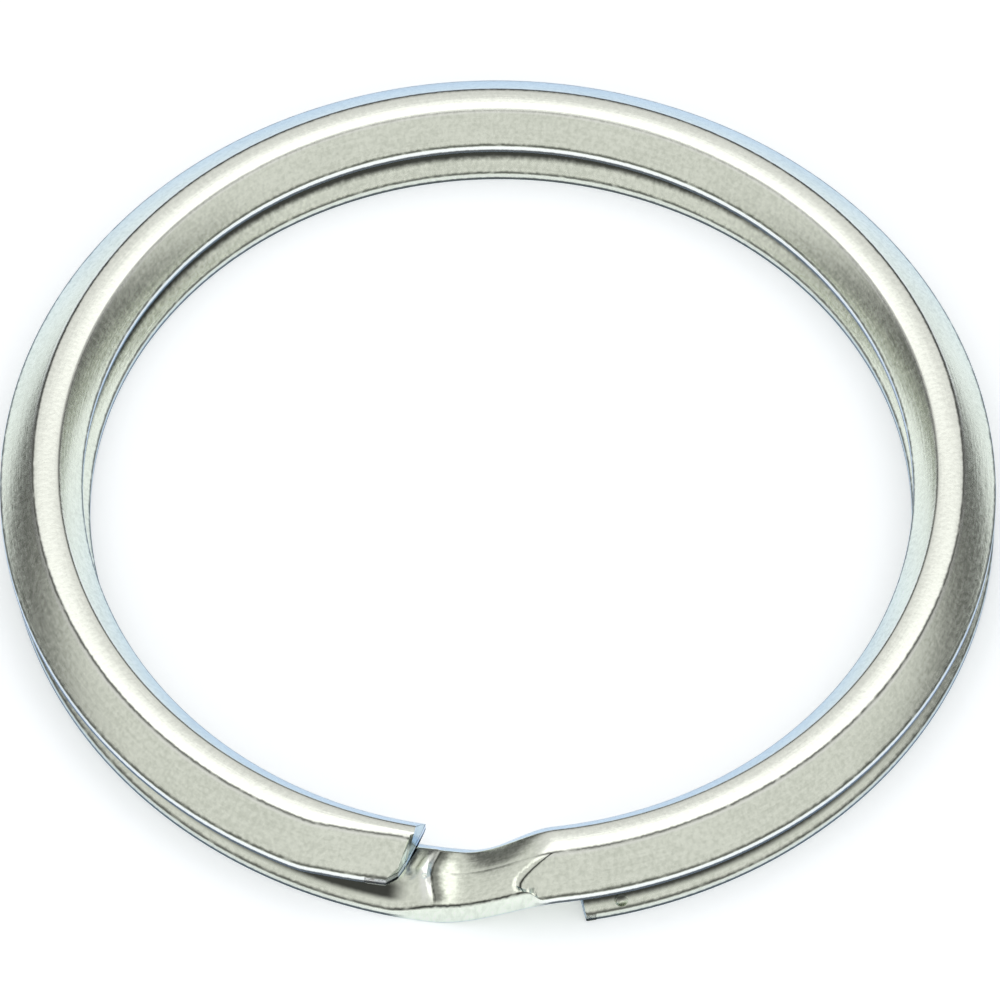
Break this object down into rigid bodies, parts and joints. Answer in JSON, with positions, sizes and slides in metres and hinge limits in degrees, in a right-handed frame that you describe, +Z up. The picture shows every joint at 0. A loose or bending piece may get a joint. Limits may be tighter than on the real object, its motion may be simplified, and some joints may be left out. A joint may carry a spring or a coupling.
{
  "type": "split key ring",
  "caption": "Two-turn split key ring of bevelled spring wire, with a joggle at the front and two free ends that spring apart.",
  "frame": {"origin": "on the ring's axis, at the surface that the ring lies on", "axes": "+Z up along the ring's axis, -Y towards the joggle and the two free ends, +X to the right when seen from the joggle's side"},
  "size_m": [0.03, 0.03, 0.0026],
  "materials": {
    "upper_steel": "satin, tumbled",
    "lower_steel": "satin, tumbled",
    "joggle_steel": "satin, pressed smooth"
  },
  "bodies": {
    "joggle_root": {"joggle": "joggle_steel", "upper_front_right": "upper_steel", "lower_front_left": "lower_steel"},
    "upper_right": {"upper_right": "upper_steel"},
    "upper_back_right": {"upper_back_right": "upper_steel"},
    "upper_back_left": {"upper_back_left": "upper_steel"},
    "upper_left": {"upper_left": "upper_steel"},
    "lower_left": {"lower_left": "lower_steel"},
    "lower_back_left": {"lower_back_left": "lower_steel"},
    "lower_back_right": {"lower_back_right": "lower_steel"},
    "lower_right": {"lower_right": "lower_steel"},
    "upper_front_left": {"upper_front_left": "upper_steel", "upper_end_nose": "upper_steel"},
    "lower_front_right": {"lower_front_right": "lower_steel", "lower_end_tip": "lower_steel"}
  },
  "joints": [
    {"name": "upper_flex_right", "type": "hinge", "parent": "joggle_root", "child": "upper_right", "pos_m": [0.01357, -0.00225, 0.00182], "axis": [0.1633, 0.9866, 0], "range_deg": [0, 0.91]},
    {"name": "upper_flex_back_right", "type": "hinge", "parent": "upper_right", "child": "upper_back_right", "pos_m": [0.01118, 0.008, 0.00182], "axis": [-0.5821, 0.8131, 0], "range_deg": [0, 1.55]},
    {"name": "upper_spread", "type": "hinge", "parent": "upper_back_right", "child": "upper_back_left", "pos_m": [0.00225, 0.01357, 0.00182], "axis": [-0.9866, 0.1633, 0], "range_deg": [0, 1.8], "stiffness_Nm_per_rad": 15.97},
    {"name": "upper_flex_left", "type": "hinge", "parent": "upper_back_left", "child": "upper_left", "pos_m": [-0.008, 0.01118, 0.00182], "axis": [-0.8131, -0.5821, 0], "range_deg": [0, 1.55]},
    {"name": "upper_flex_front_left", "type": "hinge", "parent": "upper_left", "child": "upper_front_left", "pos_m": [-0.01357, 0.00225, 0.00182], "axis": [-0.1633, -0.9866, 0], "range_deg": [0, 0.91]},
    {"name": "lower_flex_left", "type": "hinge", "parent": "joggle_root", "child": "lower_left", "pos_m": [-0.01336, -0.00225, 0.00052], "axis": [-0.165, 0.9863, 0], "range_deg": [0, 0.91]},
    {"name": "lower_flex_back_left", "type": "hinge", "parent": "lower_left", "child": "lower_back_left", "pos_m": [-0.01101, 0.00793, 0.00052], "axis": [0.5807, 0.8141, 0], "range_deg": [0, 1.55]},
    {"name": "lower_spread", "type": "hinge", "parent": "lower_back_left", "child": "lower_back_right", "pos_m": [-0.00215, 0.01346, 0.00052], "axis": [0.9863, 0.165, 0], "range_deg": [0, 1.8], "stiffness_Nm_per_rad": 15.97},
    {"name": "lower_flex_right", "type": "hinge", "parent": "lower_back_right", "child": "lower_right", "pos_m": [0.00803, 0.01111, 0.00052], "axis": [0.8141, -0.5807, 0], "range_deg": [0, 1.55]},
    {"name": "lower_flex_front_right", "type": "hinge", "parent": "lower_right", "child": "lower_front_right", "pos_m": [0.01356, 0.00225, 0.00052], "axis": [0.165, -0.9863, 0], "range_deg": [0, 0.91]}
  ],
  "couplings": [
    {"joint": "upper_flex_right", "follows": "upper_spread", "ratio": 0.5},
    {"joint": "upper_flex_back_right", "follows": "upper_spread", "ratio": 0.8536},
    {"joint": "upper_flex_left", "follows": "upper_spread", "ratio": 0.8536},
    {"joint": "upper_flex_front_left", "follows": "upper_spread", "ratio": 0.5},
    {"joint": "lower_flex_left", "follows": "lower_spread", "ratio": 0.5},
    {"joint": "lower_flex_back_left", "follows": "lower_spread", "ratio": 0.8536},
    {"joint": "lower_flex_right", "follows": "lower_spread", "ratio": 0.8536},
    {"joint": "lower_flex_front_right", "follows": "lower_spread", "ratio": 0.5}
  ]
}
